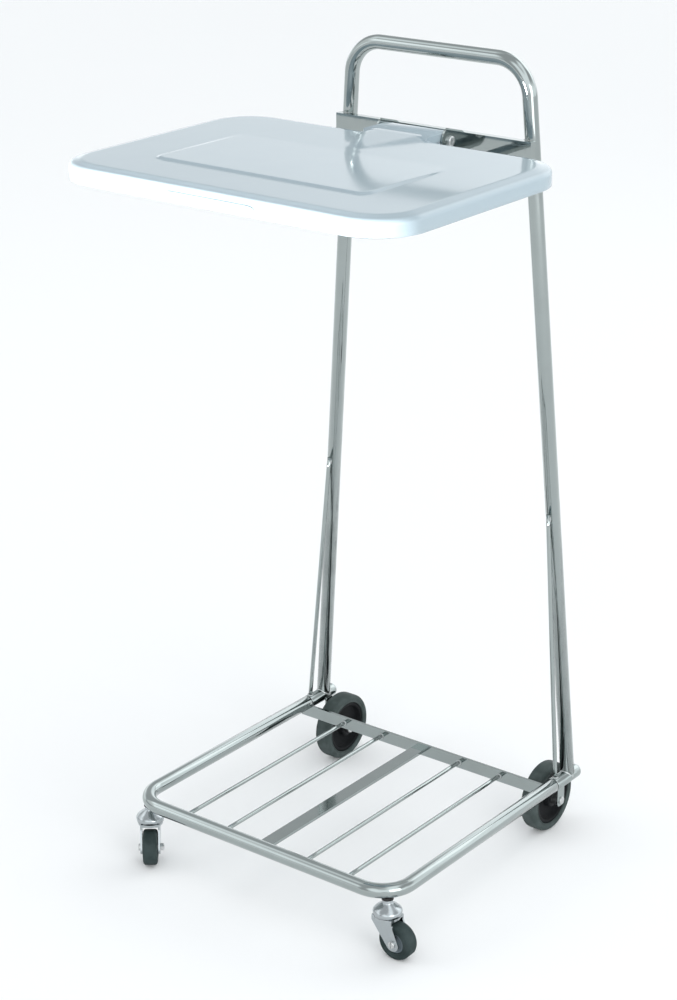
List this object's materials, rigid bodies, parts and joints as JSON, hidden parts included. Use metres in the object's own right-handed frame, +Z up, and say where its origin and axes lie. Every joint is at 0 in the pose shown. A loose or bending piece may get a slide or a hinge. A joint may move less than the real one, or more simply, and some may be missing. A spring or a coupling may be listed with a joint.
{
  "type": "bag holder stand",
  "caption": "Wheeled chrome tube stand with push handle, hinged plastic lid over a bag ring, swivel front casters and larger rear wheels.",
  "frame": {"origin": "on the floor under the middle of the stand's bounding box", "axes": "+X to the right seen from the front, -Y to the front, where the casters are, +Z up"},
  "size_m": [0.534, 0.545, 1.111],
  "materials": {
    "chrome": "polished chrome plate",
    "inner_steel": "plain steel inside the tubes",
    "fastener": "bright zinc plate",
    "caster_plate": "plated pressed steel",
    "black_rubber": "matt",
    "lid_plastic": "smooth moulded plastic with a soft gloss",
    "rear_hub": "fine moulded grain",
    "rear_tyre": "matt grey rubber",
    "caster_hub": "fine moulded grain",
    "caster_tyre": "matt dark grey rubber"
  },
  "bodies": {
    "frame": {"base_frame_tube": "chrome", "base_crossbar": "chrome", "floor_rod_1": "chrome", "floor_rod_2": "chrome", "floor_rod_3": "chrome", "floor_rod_4": "chrome", "floor_centre_bar": "chrome", "upright_tube": "chrome", "hinge_crossbar": "chrome", "bag_ring": "chrome", "hinge_bolt": "fastener", "hinge_washer": "fastener", "hinge_nut": "fastener", "foot_tube_left": "chrome", "side_stay_left": "chrome", "ring_arm_left": "chrome", "hinge_ear_left": "chrome", "wheel_bracket_left": "chrome", "joint_spigot_left": "inner_steel", "axle_pin_left": "fastener", "axle_spacer_left": "fastener", "axle_cap_left": "fastener", "caster_stem_left": "fastener", "caster_head_left": "caster_plate", "caster_washer_left": "black_rubber", "foot_tube_right": "chrome", "side_stay_right": "chrome", "ring_arm_right": "chrome", "hinge_ear_right": "chrome", "wheel_bracket_right": "chrome", "joint_spigot_right": "inner_steel", "axle_pin_right": "fastener", "axle_spacer_right": "fastener", "axle_cap_right": "fastener", "caster_stem_right": "fastener", "caster_head_right": "caster_plate", "caster_washer_right": "black_rubber"},
    "lid": {"lid": "lid_plastic"},
    "caster_swivel_left": {"caster_fork_left": "caster_plate", "caster_axle_left": "fastener", "caster_nut_left": "fastener"},
    "caster_wheel_left": {"caster_hub_left": "caster_hub", "caster_tyre_left": "caster_tyre"},
    "rear_wheel_left": {"rear_wheel_hub_left": "rear_hub", "rear_tyre_left": "rear_tyre"},
    "caster_swivel_right": {"caster_fork_right": "caster_plate", "caster_axle_right": "fastener", "caster_nut_right": "fastener"},
    "caster_wheel_right": {"caster_hub_right": "caster_hub", "caster_tyre_right": "caster_tyre"},
    "rear_wheel_right": {"rear_wheel_hub_right": "rear_hub", "rear_tyre_right": "rear_tyre"}
  },
  "joints": [
    {"name": "lid_hinge", "type": "hinge", "parent": "frame", "child": "lid", "pos_m": [0, 0.148, 0.9955], "axis": [-1, 0, 0], "range_deg": [0, 100]},
    {"name": "caster_swivel_left", "type": "hinge", "parent": "frame", "child": "caster_swivel_left", "pos_m": [-0.20682, -0.18782, 0.057], "axis": [0, 0, 1], "continuous": true},
    {"name": "caster_spin_left", "type": "hinge", "parent": "caster_swivel_left", "child": "caster_wheel_left", "pos_m": [-0.19612, -0.20103, 0.025], "axis": [0.7771, 0.6293, 0], "continuous": true},
    {"name": "rear_wheel_spin_left", "type": "hinge", "parent": "frame", "child": "rear_wheel_left", "pos_m": [-0.1855, 0.222, 0.05], "axis": [1, 0, 0], "continuous": true},
    {"name": "caster_swivel_right", "type": "hinge", "parent": "frame", "child": "caster_swivel_right", "pos_m": [0.20682, -0.18782, 0.057], "axis": [0, 0, 1], "continuous": true},
    {"name": "caster_spin_right", "type": "hinge", "parent": "caster_swivel_right", "child": "caster_wheel_right", "pos_m": [0.22382, -0.18782, 0.025], "axis": [0, 1, 0], "continuous": true},
    {"name": "rear_wheel_spin_right", "type": "hinge", "parent": "frame", "child": "rear_wheel_right", "pos_m": [0.1855, 0.222, 0.05], "axis": [1, 0, 0], "continuous": true}
  ]
}
